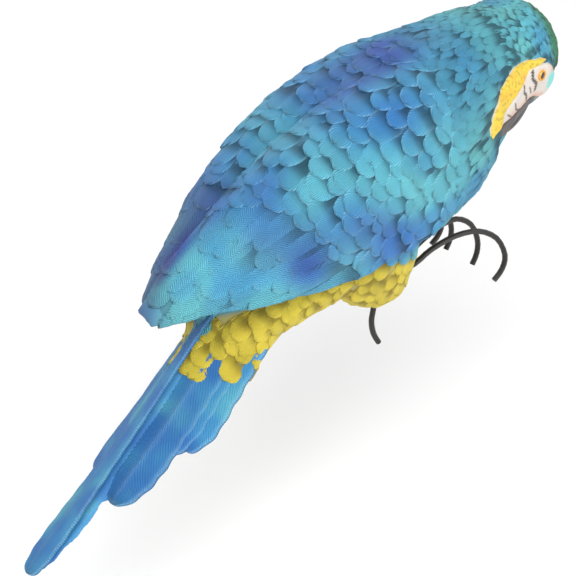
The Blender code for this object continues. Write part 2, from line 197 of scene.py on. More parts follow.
# Brushed patches: x, distance from the middle plane, z, reach along x, reach across, strength, colour
BLUE_PATCHES = (
    (-32.0, 5.0, 135.0, 34.0, 13.0, 0.9, VIOLET),
    (-52.0, 4.0, 127.0, 26.0, 16.0, 0.5, VIOLET),
    (-40.0, 33.0, 122.0, 22.0, 12.0, 0.65, BLUE),
    (-62.0, 20.0, 125.0, 20.0, 10.0, 0.5, BLUE),
    (-112.0, 12.0, 97.0, 26.0, 18.0, 0.55, BLUE),
    (-127.0, 4.0, 88.0, 14.0, 10.0, 0.75, VIOLET),
    (-114.0, 22.0, 99.0, 10.0, 8.0, 0.5, VIOLET),
    (-150.0, 1.0, 70.0, 30.0, 7.5, 0.9, VIOLET),
    (-160.0, 2.0, 62.0, 24.0, 6.0, 0.85, PURPLE),
    (-117.0, 33.0, 84.0, 16.0, 12.0, 0.7, VIOLET),
    (-101.0, 42.0, 67.0, 15.0, 13.0, 0.85, VIOLET),
    (-84.0, 45.0, 84.0, 18.0, 10.0, 0.55, BLUE),
    (-68.0, 48.0, 72.0, 22.0, 11.0, 0.75, VIOLET),
    (-50.0, 48.0, 60.0, 20.0, 9.0, 0.7, BLUE),
    (-173.0, 5.0, 47.0, 9.0, 12.0, 1.0, PURPLE),
    (-155.0, 16.0, 60.0, 14.0, 5.0, 0.5, BLUE),
)
PATCH_TALLER = 1.4
PATCH_FADE = 1.4
# The left wing's rear is purple: edges along y and x, share, and how much the clouds change it
FAR_WING_EDGES = ((-1.0, 3.0), (-108.0, -124.0))
FAR_WING_SHARES = (0.7, 0.3)
# Crown and green brow: edges along x, and along z in the head's own frame
CROWN_EDGE = (30.0, 55.0)
CROWN_CLOUD = (14.0, 2.0)
CROWN_CLOUD_EDGE = (-0.1, 0.5)
CROWN_GREEN = 0.7
CROWN_LIGHT = 0.28
BROW_EDGES = ((66.0, 76.0), (-2.0, 8.0))
# Bare front and chin in the head's own frame: edges along x, at the top and at the foot
FRONT_EDGES = ((12.0, 16.0), (13.0, 9.0), (-36.0, -30.0))
CHIN_EDGES = ((2.0, 5.0), (-8.0, -12.0), (-36.0, -30.0))
# Feather washes in linear light: blotches, wash, painted shade with dark wash in the cuts, rims; then their
# shares
BLUE_WASHES = ((0.03, 0.15, 0.34), (0.02, 0.08, 0.13), (0.012, 0.05, 0.09), (0.42, 0.70, 0.80))
BLUE_SHARES = (0.16, 0.38, 0.66, 0.42)
YELLOW_WASHES = ((0.60, 0.46, 0.06), (0.22, 0.16, 0.02), (0.26, 0.18, 0.02), (0.92, 0.80, 0.30))
YELLOW_SHARES = (0.22, 0.28, 0.5, 0.25)
SKIN_DIRT = (0.42, 0.34, 0.28)
HORN_DIRT = (0.10, 0.09, 0.085)
WIRE_TONES = ((0.012, 0.011, 0.011), (0.050, 0.045, 0.042))

# Form of every feather, as shares of its length and half width, heights in mm
ROW_CROWDING = 0.85
TIP_BLUNTNESS = 0.45
ROOT_WIDTH = 0.75
ROOT_WIDE_BY = 0.4
LEAST_WIDTH = 0.06
LENGTHS = (0.9, 1.1)
DRIFT = 0.12
NIBBLE = 0.25
NIBBLE_PITCH = 9.0
WAVE_SHIFT = 6
SHARPEST_BEND = 0.1
STRETCH = 2.8
STRETCH_SLACK = 1.2
FAN_START = 0.2
FAN_REACH = 0.8
BARB_SLANT = 1.1
TILTS = (0.7, 1.3)
ROOT_SINK = 0.05
SUNK = 0.4
SHAFT_HEIGHT = 0.25
SHAFT_WIDTH = 0.13
BARB_HEIGHT = 0.07
EDGE_DROP = 0.2
SKIRT = 0.6
TONE_SPREAD = 0.10
TAIL_TONE_SPREAD = 0.08
# Rows and columns that a hem adds: one at the tip, one at each side
HEM = ((0, 1), (1, 1))
# Painted shade with dark wash on the skin in the cuts between feathers; less on the tail and behind the
# stated x
CUT_SHADE = 0.9
OPEN_SHADE = 0.3
OPEN_REAR = -168.0

# Face marks in the head's own frame, seen from its side: x forward, z up
FACE_EDGE = np.array([
    (-6.0, 2.0), (-10.5, -3.0), (-14.0, -9.0), (-12.5, -17.0), (-14.0, -27.0), (-15.0, -36.0), (-19.0, -47.0),
    (-11.0, -42.0), (-5.5, -34.5), (-0.5, -25.0), (2.0, -17.0), (7.0, -12.0), (12.0, -9.0), (17.0, -4.0),
    (16.0, 4.0), (8.0, 5.5), (0.0, 4.5),
])
# Pinker rims of the bare face, along the bill and over the lore, with the reach of the pink
FACE_FOOT = FACE_EDGE[8:13]
FACE_TOP = FACE_EDGE[14:17]
FOOT_PINK = (5.0, 1.0)
TOP_PINK = (4.0, 1.0)
BAND = np.array([
    (-7.5, 3.5), (-12.0, 0.5), (-18.0, -6.5), (-24.5, -16.0), (-26.0, -25.0), (-27.0, -36.0), (-25.0, -46.0),
    (-23.5, -52.0), (-18.5, -56.0), (-17.0, -48.0), (-14.5, -36.0), (-13.5, -27.0), (-12.0, -17.0),
    (-13.5, -9.0), (-9.5, -2.5),
])
MANDIBLE = np.array([
    (-12.0, -44.0), (-5.5, -34.5), (-0.5, -25.0), (2.0, -17.0), (7.0, -12.0), (12.0, -13.5), (13.5, -20.0),
    (11.0, -29.0), (6.0, -38.0), (-3.0, -47.0),
])
LORE = np.array([(1.0, 0.5), (5.0, 6.0), (13.0, 6.5), (15.0, 0.0), (9.0, -4.5), (3.5, -2.0)])
# Each stroke: half width, then its points
STROKES = (
    (1.25, (-11.5, -8.4), (-8.0, -10.4), (-4.0, -9.8), (0.2, -11.6)),
    (1.0, (-11.0, -17.6), (-8.0, -19.4), (-5.0, -18.4), (-1.6, -19.2)),
    (0.8, (-10.8, -28.2), (-7.0, -29.0), (-3.0, -27.0), (-0.2, -23.6)),
    (0.6, (-6.0, -14.4), (-1.5, -14.8)),
    (0.6, (-12.0, -36.0), (-7.5, -34.0)),
)
STROKE_WAVE = 0.35
STROKE_PITCH = 4.2
STROKE_HEIGHT = 0.30
EYE_PLACE = (-4.2, -4.9)
EYE_RADIUS = 3.0
PUPIL_SHARE = 0.62
# Clouds in the face's paint and relief: size, seed
GRAIN = (2.2, 1.0)
FACE_CLOUD = (6.0, 2.0)
DIMPLES = (1.7, 4.0)
FACE_STEP = 0.5
FACE_COLUMNS = (-30.0, 19.0)
FACE_ROWS = (-60.0, 8.5)
FACE_LIFT = 0.55
# The face starts this far from the head's middle plane; the value stands for anywhere else
SIDE_FROM = 14.0
OUTSIDE = -50.0
# Bounds of the beak, which has no feathers
BEAK_HALF_WIDTH = 17.0
BEAK_TOP = 11.0
BEAK_FOOT = -32.0
BEAK_START = 13.0
BEAK_FRONT = 22.0
# Rays that find the side of the head, and the least half width that counts
RAY_START = 60.0
RAY_LENGTH = 90.0
SHORE = 12.0
SHORE_ROUNDS = 4
# Where the face's mesh ends, and how far its edge dips into the skin
FACE_RIM = -0.9
FACE_DIP = 1.6
BAND_HEIGHT = 0.3
DIMPLE_DEPTH = 0.45
BILL_DEPTH = 0.35
EYE_RINGS = 17
EYE_TURNS = 41
LID_HEIGHT = 0.9
LID_DIP = 1.1
BEAK_ROWS = 60
BEAK_TURNS = 49
BEAK_PROUD = 0.3
BEAK_RIDGE = 0.25

# Studio; lamps by place, power and size
FLOOR_Z = -0.16
FLOOR_HALF = 3.0
FLOOR_TONE = 0.94
ROOM_LIGHT = 0.55
ROOM_SEEN = 0.45
LAMPS = {
    "key": ((-0.8, -1.0, 1.3), 26.0, 1.0),
    "fill": ((0.8, -1.5, 0.5), 11.0, 1.2),
    "back": ((0.2, 1.4, 1.0), 8.0, 1.2),
}


def linear(colour):
    """Linear light values of a 0 to 255 colour."""
    share = np.asarray(colour, float) / 255.0
    return np.where(share <= 0.04045, share / 12.92, ((share + 0.055) / 1.055) ** 2.4)


def blend(a, b, share):
    return a + (b - a) * np.clip(share, 0.0, 1.0)[..., None]


def smooth(value, low, high):
    """0 at low, 1 at high, with an eased step between."""
    f = np.clip((np.asarray(value, float) - low) / (high - low), 0.0, 1.0)
    return f * f * (3 - 2 * f)


def along(table, share):
    """Smooth values of a station table at shares 0 to 1 of its length."""
    table = np.asarray(table, float)
    last = len(table) - 1
    place = np.clip(np.asarray(share, float), 0.0, 1.0) * last
    i = np.minimum(place.astype(int), last - 1)
    f = (place - i)[..., None]
    before = table[np.maximum(i - 1, 0)]
    a = table[i]
    b = table[i + 1]
    after = table[np.minimum(i + 2, last)]
    return 0.5 * (2 * a + (b - before) * f + (2 * before - 5 * a + 4 * b - after) * f ** 2
                  + (3 * a - before - 3 * b + after) * f ** 3)


def between(table, x):
    """Second column of the table at x; its first column falls."""
    return np.interp(-np.asarray(x), -table[:, 0], table[:, 1])


def unit(vectors):
    return vectors / np.maximum(np.linalg.norm(vectors, axis=-1, keepdims=True), 1e-9)


def add_object(name, data):
    thing = bpy.data.objects.new(name, data)
    bpy.context.scene.collection.objects.link(thing)
    return thing


HEAD_TURN = np.array(Matrix.Rotation(HEAD_YAW, 3, "Z") @ Matrix.Rotation(HEAD_PITCH, 3, "Y"))


def head_to_bird(points):
    return points @ HEAD_TURN.T + HEAD_PLACE


def bird_to_head(points):
    return (points - HEAD_PLACE) @ HEAD_TURN


def inside(polygon, x, z):
    """True where the point is within the closed outline."""
    found = np.zeros(np.shape(x), bool)
    for (ax, az), (bx, bz) in zip(polygon, np.roll(polygon, -1, axis=0)):
        crosses = (az > z) != (bz > z)
        found ^= crosses & (x < (bx - ax) * (z - az) / (bz - az + 1e-12) + ax)
    return found


def distance(line, x, z):
    """Distance to a line of points."""
    best = np.full(np.shape(x), 1e9)
    for (ax, az), (bx, bz) in zip(line[:-1], line[1:]):
        length = (bx - ax) ** 2 + (bz - az) ** 2
        f = np.clip(((x - ax) * (bx - ax) + (z - az) * (bz - az)) / length, 0.0, 1.0)
        best = np.minimum(best, np.hypot(x - ax - f * (bx - ax), z - az - f * (bz - az)))
    return best


def depth_inside(polygon, x, z):
    """Distance to the outline, positive within it and negative outside."""
    edge = distance(np.vstack([polygon, polygon[:1]]), x, z)
    return np.where(inside(polygon, x, z), edge, -edge)


# Skin of the casting

def even_skin():
    """The cast form itself with even faces, eased a little."""
    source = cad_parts[CASTING]
    skin = add_object("painted_skin", source.data.copy())
    skin.matrix_world = source.matrix_world
    remesh = skin.modifiers.new("even", "REMESH")
    remesh.mode = "VOXEL"
    remesh.voxel_size = SKIN_VOXEL * MM
    ease = skin.modifiers.new("ease", "SMOOTH")
    ease.iterations = SKIN_ROUNDS
    ease.factor = SKIN_EASE
    graph = bpy.context.evaluated_depsgraph_get()
    mesh = bpy.data.meshes.new_from_object(skin.evaluated_get(graph))
    skin.modifiers.clear()
    skin.data = mesh
    return skin


def vertex_array(mesh, key):
    values = np.zeros(len(mesh.vertices) * 3)
    mesh.vertices.foreach_get(key, values)
    return values.reshape(-1, 3)


SKIN = even_skin()
SKIN_POINTS = vertex_array(SKIN.data, "co") / MM
SKIN_NORMALS = vertex_array(SKIN.data, "normal")
SKIN_FACES = [tuple(p.vertices) for p in SKIN.data.polygons]
SKIN_TREE = BVHTree.FromPolygons(SKIN_POINTS.tolist(), SKIN_FACES)
FACE_NORMALS = np.array([unit(SKIN_NORMALS[list(f)].sum(axis=0)) for f in SKIN_FACES])


def snap(points):
    """Nearest points of the skin and the outward directions there."""
    hits = [SKIN_TREE.find_nearest(p) for p in points.reshape(-1, 3).tolist()]
    places = np.array([tuple(hit[0]) for hit in hits]).reshape(points.shape)
    normals = FACE_NORMALS[[hit[2] for hit in hits]].reshape(points.shape)
    return places, normals


# Paint by place

def patch(points, x, y, z, reach_x, reach, strength):
    """Soft-edged weight of one brushed patch, the same on both sides of the bird."""
    gap = ((points[..., 0] - x) / reach_x) ** 2
    gap = gap + ((np.abs(points[..., 1]) - y) / reach) ** 2
    gap = gap + ((points[..., 2] - z) / (reach * PATCH_TALLER)) ** 2
    return strength * np.exp(-gap ** PATCH_FADE)


def mottle(points, size, seed=0.0):
    """Slow random field from -1 to 1 at the points."""
    flat = (points.reshape(-1, 3) / size + seed).tolist()
    return np.array([noise.noise(p) for p in flat]).reshape(points.shape[:-1])


def clouded(points, base, clouds):
    """The base colour with slow random clouds of others over it."""
    colour = np.broadcast_to(linear(base), points.shape)
    for tone, size, seed, edge, share in clouds:
        colour = blend(colour, linear(tone), smooth(mottle(points, size, seed), *edge) * share)
    return colour


def back_paint(points):
    """Blue of the back, wings, neck and crown, with the green brow."""
    x, y, z = np.moveaxis(points, -1, 0)
    colour = clouded(points, TURQUOISE, BACK_CLOUDS)
    for tone, share, x_edge, z_edge in BACK_WASHES:
        colour = blend(colour, linear(tone), smooth(x, *x_edge) * smooth(z, *z_edge) * share)
    cloud = mottle(points, PATCH_CLOUD)
    for *place, tone in BLUE_PATCHES:
        colour = blend(colour, linear(tone), patch(points, *place) * (1.0 + 0.5 * cloud))
    steady, by_cloud = FAR_WING_SHARES
    far_wing = smooth(y, *FAR_WING_EDGES[0]) * smooth(x, *FAR_WING_EDGES[1])
    colour = blend(colour, linear(PURPLE), far_wing * (steady + by_cloud * cloud))
    crown = smooth(x, *CROWN_EDGE)
    green = smooth(mottle(points, *CROWN_CLOUD), *CROWN_CLOUD_EDGE)
    colour = blend(colour, linear(SEA_GREEN), crown * green * CROWN_GREEN)
    colour = colour * (1.0 + CROWN_LIGHT * crown[..., None])
    brow = smooth(x, *BROW_EDGES[0]) * smooth(bird_to_head(points)[..., 2], *BROW_EDGES[1])
    return blend(colour, linear(LEAF_GREEN), brow)


def yellow_paint(points):
    return clouded(points, YELLOW, YELLOW_CLOUDS)


def tail_paint(points):
    return clouded(points, SKY, TAIL_CLOUDS)


def body_angle(points):
    """Angle from straight up round the middle line, in degrees."""
    rise = points[..., 2] - between(SPINE, points[..., 0])
    return np.degrees(np.arctan2(np.abs(points[..., 1]), rise))


def yellow_share(points):
    """1 on the yellow underparts, 0 on the blue back, wings and tail."""
    x = points[..., 0]
    low = smooth(body_angle(points) - between(COLOUR_EDGE, x), *YELLOW_EDGE)
    return low * smooth(between(YELLOW_TOP, x) - points[..., 2], *YELLOW_TOP_EDGE)


def tail_start(points):
    """Falls towards the tail's tip; its lines of equal value slant forward to the sides."""
    return points[..., 0] - TAIL_SLANT * np.abs(points[..., 1])


def tail_share(points):
    """1 on the tail's skin, 0 on the wings over it and on the body."""
    room = between(TAIL_RIDGE, points[..., 0]) + TAIL_ROOF - points[..., 2]
    return smooth(tail_start(points), *TAIL_EDGE) * smooth(room, *TAIL_ROOF_EDGE)


def head_area(local, x_edge, top_edge, foot_edge):
    """Soft-edged part of the head, in its own frame."""
    z = local[..., 2]
    return smooth(local[..., 0], *x_edge) * smooth(z, *top_edge) * smooth(z, *foot_edge)


def skin_paint(points):
    """Paint of the skin, which shows between the feathers and round the beak."""
    colour = blend(back_paint(points), yellow_paint(points), yellow_share(points))
    local = bird_to_head(points)
    colour = blend(colour, linear(CREAM), head_area(local, *FRONT_EDGES))
    colour = blend(colour, linear(BEAK_GREY), head_area(local, *CHIN_EDGES))
    return blend(colour, tail_paint(points), tail_share(points))


# Meshes with paint

class Plumage:
    """Grids of one region, gathered into one mesh with paint and barb lines."""

    def __init__(self):
        self.points = []
        self.faces = []
        self.paint = []
        self.marks = {"barb": [], "rim": [], "shade_and_wash": []}
        self.count = 0

    def add_grid(self, points, paint, barb=0.0, rim=0.0, shade_and_wash=0.0, keep=None):
        """Adds a grid with its marks; a face stays where keep is True at all its points."""
        rows, columns = points.shape[:2]
        index = np.arange(rows * columns).reshape(rows, columns) + self.count
        quads = np.stack([index[:-1, :-1], index[:-1, 1:], index[1:, 1:], index[1:, :-1]], -1)
        if keep is not None:
            quads = quads[keep[:-1, :-1] & keep[:-1, 1:] & keep[1:, 1:] & keep[1:, :-1]]
        self.points.append(points.reshape(-1, 3))
        self.faces.append(quads.reshape(-1, 4))
        self.paint.append(np.broadcast_to(paint, points.shape).reshape(-1, 3))
        for key, values in (("barb", barb), ("rim", rim), ("shade_and_wash", shade_and_wash)):
            self.marks[key].append(np.broadcast_to(values, points.shape[:2]).reshape(-1))
        self.count += rows * columns

    def to_object(self, name, material):
        points = np.concatenate(self.points) * MM
        faces = np.concatenate(self.faces)
        used, faces = np.unique(faces, return_inverse=True)
        mesh = bpy.data.meshes.new(name)
        mesh.from_pydata(points[used].tolist(), [], faces.reshape(-1, 4).tolist())
        marks = {key: np.concatenate(values)[used] for key, values in self.marks.items()}
        dress(mesh, material, np.concatenate(self.paint)[used], marks)
        return add_object(name, mesh)


def dress(mesh, material, paint, marks):
    """Stores the paint and marks on the points and sets the material."""
    layer = mesh.attributes.new("paint", "FLOAT_COLOR", "POINT")
    layer.data.foreach_set("color", np.column_stack([paint, np.ones(len(paint))]).ravel())
    for key, values in marks.items():
        layer = mesh.attributes.new(key, "FLOAT", "POINT")
        layer.data.foreach_set("value", np.ascontiguousarray(values, dtype=float))
    mesh.polygons.foreach_set("use_smooth", [True] * len(mesh.polygons))
    mesh.materials.clear()
    mesh.materials.append(material)
    mesh.update()


# Feathers

@dataclass
class Feather:
    """Size and style of one kind of feather, in mm."""

    length: float
    width: float
    along_step: float
    across_step: float
    lift: float
    round_from: float = 0.45
    crown: float = 0.5
    barbs: str = "fan"
    pitch: float = 0.9
    rows: int = 11
    columns: int = 11
    ragged: float = 0.2
    rim: float = 1.0


CROWN = Feather(10.0, 4.6, 4.0, 2.9, 0.45, round_from=0.6, crown=0.3, pitch=0.8, rows=8, columns=7)
NECK = Feather(20.0, 5.8, 7.4, 3.5, 0.95, round_from=0.66, columns=9)
COVERT = Feather(18.5, 14.5, 6.6, 8.4, 1.4, round_from=0.5, crown=0.15, pitch=1.4, columns=13, ragged=0.26)
PLUME = Feather(46.0, 13.0, 12.0, 8.0, 0.95, round_from=0.8, crown=0.55, barbs="slant", pitch=1.4, rows=26,
                rim=0.4)
BREAST = Feather(13.0, 9.5, 5.4, 6.4, 0.8, round_from=0.5, crown=0.4)
UNDERTAIL = Feather(16.0, 12.0, 5.6, 7.2, 1.0, round_from=0.55, crown=0.3)


def back_flow(point):
    """Direction that the back, wing, neck and crown feathers point in."""
    forward = float(smooth(point[0], *BEAK_FLOW_EDGE))
    gather = WING_GATHER * (1.0, math.copysign(1.0, point[1]), 1.0)
    return unit(point - BEAK_ROOT) * forward + unit(gather - point) * (1 - forward)


def belly_flow(point):
    """Direction that the yellow feathers point in: down on the breast, back under the tail."""
    return unit(BREAST_WAY + UNDERTAIL_TURN * float(smooth(point[0], *UNDERTAIL_EDGE)))


def scatter(spots, flow, kind, rng):
    """Feather roots spread over the candidate points, about a step apart each way."""
    order = list(range(len(spots)))
    rng.shuffle(order)
    chosen = np.zeros((0, 3))
    for i in order:
        point = spots[i]
        if len(chosen):
            gap = chosen - point
            way = flow(point)
            run = gap @ way
            side = np.maximum((gap ** 2).sum(axis=1) - run ** 2, 0.0)
            if ((run / kind.along_step) ** 2 + side / kind.across_step ** 2).min() < 1.0:
                continue
        chosen = np.vstack([chosen, point])
    return chosen


def middle_line(root, length, steps, flow):
    """Points down the middle of a feather, each on the skin, with directions along and out."""
    point, normal = snap(root[None])
    points = []
    ways = []
    normals = []
    before = 0.0
    for step in steps:
        way = flow(point[0])
        way = unit(way - normal[0] * (way @ normal[0]))
        if step > before:
            point, normal = snap(point + way * length * (step - before))
            before = step
        points.append(point[0])
        ways.append(way)
        normals.append(normal[0])
    return np.array(points), np.array(ways), unit(np.array(normals))


def width_share(kind, vv):
    """Share of the full width down the feather: narrower at the root, round at the tip."""
    past = np.clip((vv - kind.round_from) / (1 - kind.round_from), 0.0, 1.0)
    tip = np.maximum(1 - past ** 2, 0.0) ** TIP_BLUNTNESS
    return np.maximum(tip * (ROOT_WIDTH + (1 - ROOT_WIDTH) * smooth(vv, 0.0, ROOT_WIDE_BY)), LEAST_WIDTH)


def barb_lines(kind, vv, uu, half, length):
    """Running count of the barbs: a fan from the root, or slanting from the shaft."""
    if kind.barbs == "fan":
        spread = np.arctan2(uu * half, np.maximum(vv - FAN_START, 0.05) * length)
        return spread * length * FAN_REACH / kind.pitch
    return (vv * length - np.abs(uu) * half * BARB_SLANT) / kind.pitch


def feather_height(kind, vv, uu, phase, tilt):
    """Height over the skin: lifted tip, crowned middle, shaft, barbs and an eased edge."""
    lift = kind.lift * tilt * (vv * (1 + ROOT_SINK) - ROOT_SINK)
    height = lift + kind.crown * (1 - uu ** 2) * (0.4 + 0.6 * vv) - SUNK
    height += SHAFT_HEIGHT * np.exp(-(uu / SHAFT_WIDTH) ** 2) * (1 - 0.6 * vv)
    height += BARB_HEIGHT * np.sin(np.pi * phase) * (1 - uu ** 6)
    return height - EDGE_DROP * kind.lift * smooth(np.maximum(np.abs(uu), vv ** 6), 0.86, 1.0)


def longest_step(points):
    """Greatest distance between neighbours of a grid."""
    return max(np.linalg.norm(np.diff(points, axis=axis), axis=-1).max() for axis in (0, 1))


def hemmed(top, skirt):
    """The grid with a row at the tip and a column at each side that reach down into the skin."""
    grid = np.pad(top, (*HEM, (0, 0)), mode="edge")
    edge = np.pad(skirt, (*HEM, (0, 0)), mode="edge")
    grid[:, 0] = edge[:, 0]
    grid[:, -1] = edge[:, -1]
    grid[-1] = edge[-1]
    return grid


def widened(values, fill=None):
    """Marks of a grid with those of its hem, which take the fill or the value beside them."""
    wide = np.pad(values, HEM, mode="edge")
    if fill is not None:
        wide[:, 0] = fill
        wide[:, -1] = fill
        wide[-1] = fill
    return wide


def lay_feather(plumage, root, kind, flow, painter, rng, longest):
    """One feather on the skin: its root sinks under the ones before, its tip stands proud."""
    size = rng.uniform(1 - kind.ragged, 1 + kind.ragged)
    length = min(kind.length * rng.uniform(*LENGTHS) * (0.5 + 0.5 * size), longest)
    half = kind.width / 2 * size
    v = np.linspace(0.0, 1.0, kind.rows) ** ROW_CROWDING
    vv, uu = np.meshgrid(v, np.linspace(-1.0, 1.0, kind.columns), indexing="ij")
    middle, ways, normals = middle_line(root, length, v, flow)
    if (normals @ normals[0]).min() < SHARPEST_BEND:
        return
    across = unit(np.cross(normals, ways))
    drift = rng.uniform(-DRIFT, DRIFT) * half
    reach = half * width_share(kind, vv) * uu + drift * vv
    nibble = NIBBLE * vv * np.sin(uu * NIBBLE_PITCH + rng.uniform(0, WAVE_SHIFT))
    flat = middle[:, None] + across[:, None] * reach[..., None] + ways[:, None] * nibble[..., None]
    points, out = snap(flat)
    if longest_step(points) > STRETCH * max(length / kind.rows, 2 * half / kind.columns) + STRETCH_SLACK:
        return
    phase = barb_lines(kind, vv, uu, half, length)
    height = feather_height(kind, vv, uu, phase, rng.uniform(*TILTS))
    grid = hemmed(points + out * height[..., None], points - out * SKIRT)
    tone = painter(points) * (1 + rng.uniform(-TONE_SPREAD, TONE_SPREAD))
    rim = smooth(np.maximum(np.abs(uu), smooth(vv, 0.80, 1.0)), 0.80, 0.96) * kind.rim
    # Painted shade with dark wash at the root under the feathers that overlap it, and in full on the skirts
    # under its edges
    shade_and_wash = 1 - smooth(vv, 0.35, 0.66)
    paint = np.pad(tone, (*HEM, (0, 0)), mode="edge")
    plumage.add_grid(grid, paint, widened(phase), widened(rim, 0.0), widened(shade_and_wash, 1.0))


def face_margin(points):
    """Distance inside the bare face, its yellow band and the bill, negative outside."""
    x, y, z = np.moveaxis(bird_to_head(points), -1, 0)
    margin = np.maximum.reduce([depth_inside(shape, x, z) for shape in (FACE_EDGE, BAND, MANDIBLE)])
    return np.where(np.abs(y) > SIDE_FROM, margin, OUTSIDE)


def on_beak(points):
    x, y, z = np.moveaxis(bird_to_head(points), -1, 0)
    root = (np.abs(y) < BEAK_HALF_WIDTH) & (z < BEAK_TOP) & (x > BEAK_START)
    return (root | (x > BEAK_FRONT)) & (z > BEAK_FOOT)


def no_limit(root):
    return math.inf


def to_wing_end(root):
    """Longest plume that still ends at the wing's tip."""
    return max(PLUME_SHORTEST, (root[0] - WING_TIP) * PLUME_SLANT)


def lay_region(plumage, rng, mask, kind, flow, painter, longest=no_limit):
    """Feathers of one kind over a part of the skin, without those that would cover the face."""
    for root in scatter(SKIN_POINTS[mask], flow, kind, rng):
        limit = longest(root)
        end = root + flow(root) * min(kind.length, limit)
        if face_margin(end) <= FACE_OVERLAP:
            lay_feather(plumage, root, kind, flow, painter, rng, limit)


def feather_piece(name, material, rng, *regions):
    """One mesh of feathers; each region is a mask, kind, flow and painter."""
    plumage = Plumage()
    for region in regions:
        lay_region(plumage, rng, *region)
    return plumage.to_object(name, material)


def root_masks():
    """Points of the skin where each kind of feather may be rooted."""
    x, _, z = SKIN_POINTS.T
    angle = body_angle(SKIN_POINTS)
    bare = (face_margin(SKIN_POINTS) > -0.5) | on_beak(SKIN_POINTS)
    blue = (angle < between(COLOUR_EDGE, x)) & (tail_share(SKIN_POINTS) <= 0.3) & ~bare
    low = (yellow_share(SKIN_POINTS) > 0.9) & ~bare & (z > YELLOW_LOWEST) & (x < YELLOW_FRONT)
    low = low & (tail_start(SKIN_POINTS) > UNDERTAIL_END) & ((x > THIGH_REAR) | (z > REAR_LOWEST))
    covert_end = COVERT_END + COVERT_END_SHIFT * angle / COVERT_END_ANGLE
    return {
        "head": blue & (x > HEAD_FROM),
        "neck": blue & (x <= NECK_TO) & (x > NECK_FROM),
        "covert": blue & (x <= COVERT_TO) & (x > covert_end),
        "plume": blue & (x <= covert_end + PLUME_OVERLAP) & (x > WING_REAR),
        "breast": low & (x > BREAST_FROM),
        "undertail": low & (x <= UNDERTAIL_TO),
    }


def feather_pieces(paint, yellow):
    """All feathers apart from the tail's, from the wings to the belly."""
    rng = random.Random(SEED)
    roots = root_masks()
    back = (back_flow, back_paint)
    belly = (belly_flow, yellow_paint)
    pieces = []
    for side, name in SIDES:
        own = SKIN_POINTS[:, 1] * side >= 0
        coverts = (roots["covert"] & own, COVERT, *back)
        plumes = (roots["plume"] & own, PLUME, *back, to_wing_end)
        pieces.append(feather_piece(name + "_coverts", paint, rng, coverts))
        pieces.append(feather_piece(name + "_plumes", paint, rng, plumes))
    neck = (roots["neck"], NECK, *back)
    head = (roots["head"], CROWN, *back)
    pieces.append(feather_piece("head_and_neck_feathers", paint, rng, neck, head))
    breast = (roots["breast"], BREAST, *belly)
    undertail = (roots["undertail"], UNDERTAIL, *belly)
    pieces.append(feather_piece("yellow_feathers", yellow, rng, breast, undertail))
    return pieces


# Tail

def tail_points(share, side, slope_offset, depth):
    """Points of the tail's roof: slope_offset down one side of the ridge, depth below it."""
    ridge = along(TAIL_RIDGE, share)
    run = unit(along(TAIL_RIDGE, share + TAIL_RUN_STEP) - along(TAIL_RIDGE, share - TAIL_RUN_STEP))
    zero = np.zeros_like(share)
    normal = np.stack([run[..., 1], zero, -run[..., 0]], -1)
    slope = TAIL_ROOT_SLOPE + (TAIL_TIP_SLOPE - TAIL_ROOT_SLOPE) * share ** 3
    down = np.stack([zero, side * np.cos(slope), zero], -1) - normal * np.sin(slope)[..., None]
    spread = TAIL_ROOT_SPREAD + (1 - TAIL_ROOT_SPREAD) * np.minimum(share / TAIL_SPREAD_END, 1.0)
    middle = np.stack([ridge[..., 0], zero, ridge[..., 1]], -1)
    return middle + down * (slope_offset * spread)[..., None] - normal * depth[..., None], normal


def blade_height(left, uu, phase):
    """Height of a tail feather: shaft, rib and barbs, lower at the edge and the tip."""
    shaft = BLADE_SHAFT * (1 - np.abs(uu)) + BLADE_RIB * np.exp(-(uu / BLADE_RIB_WIDTH) ** 2)
    height = BLADE_PROUD + shaft * np.minimum(left * 2, 1.0)
    height = height + BLADE_BARB_HEIGHT * np.sin(np.pi * phase) * (1 - uu ** 6)
    return height - BLADE_EDGE_DROP * smooth(np.maximum(np.abs(uu), 1 - left), 0.88, 1.0)


def lay_blade(plumage, blade, side, reach, rng):
    """A long tail feather with a round tip, a shaft and slanting barbs."""
    length, offset, half_width, depth = blade
    span = length * reach
    start = INNER_START - START_PER_MM * offset if offset else BLADE_START
    f = 1 - (1 - np.linspace(start / span, 1.0, BLADE_ROWS)) ** BLADE_CROWDING
    ff, uu = np.meshgrid(f, np.linspace(-1.0, 1.0, BLADE_COLUMNS), indexing="ij")
    left = np.minimum((1 - ff) / TAIL_TIP_SHARE, 1.0)
    width = half_width * np.maximum(np.sqrt(1 - (1 - left) ** 2), 0.05)
    run = ff * (span * TAIL_LENGTH)
    phase = (run - np.abs(uu) * half_width * BLADE_BARB_SLANT) / BLADE_PITCH
    rise = blade_height(left, uu, phase)
    nick = BLADE_NICK * np.sin(run * BLADE_NICK_PITCH + rng.uniform(0, WAVE_SHIFT)) * np.abs(uu) ** 3
    top, normal = tail_points(ff * span, side, offset + uu * (width + nick), depth - rise)
    grid = hemmed(top, top - normal * (rise + BLADE_SKIRT)[..., None])
    tone = tail_paint(grid) * (1 + rng.uniform(-TAIL_TONE_SPREAD, TAIL_TONE_SPREAD))
    bluer = BLADE_BLUE * smooth(0.55 - np.abs(uu), *BLADE_BLUE_EDGE)
    tone[:-1, 1:-1] = blend(tone[:-1, 1:-1], linear(BLUE), bluer)
    rim = smooth(np.maximum(np.abs(uu), 1 - left), 0.86, 0.98)
    rim = np.maximum(rim, 0.5 * np.exp(-(uu / 0.16) ** 2))
    # Painted shade with dark wash on the walls that hang down from the feather's edges and tip
    shade = widened(np.zeros_like(uu), BLADE_SHADE)
    plumage.add_grid(grid, tone, widened(phase), widened(rim, 0.0), shade)


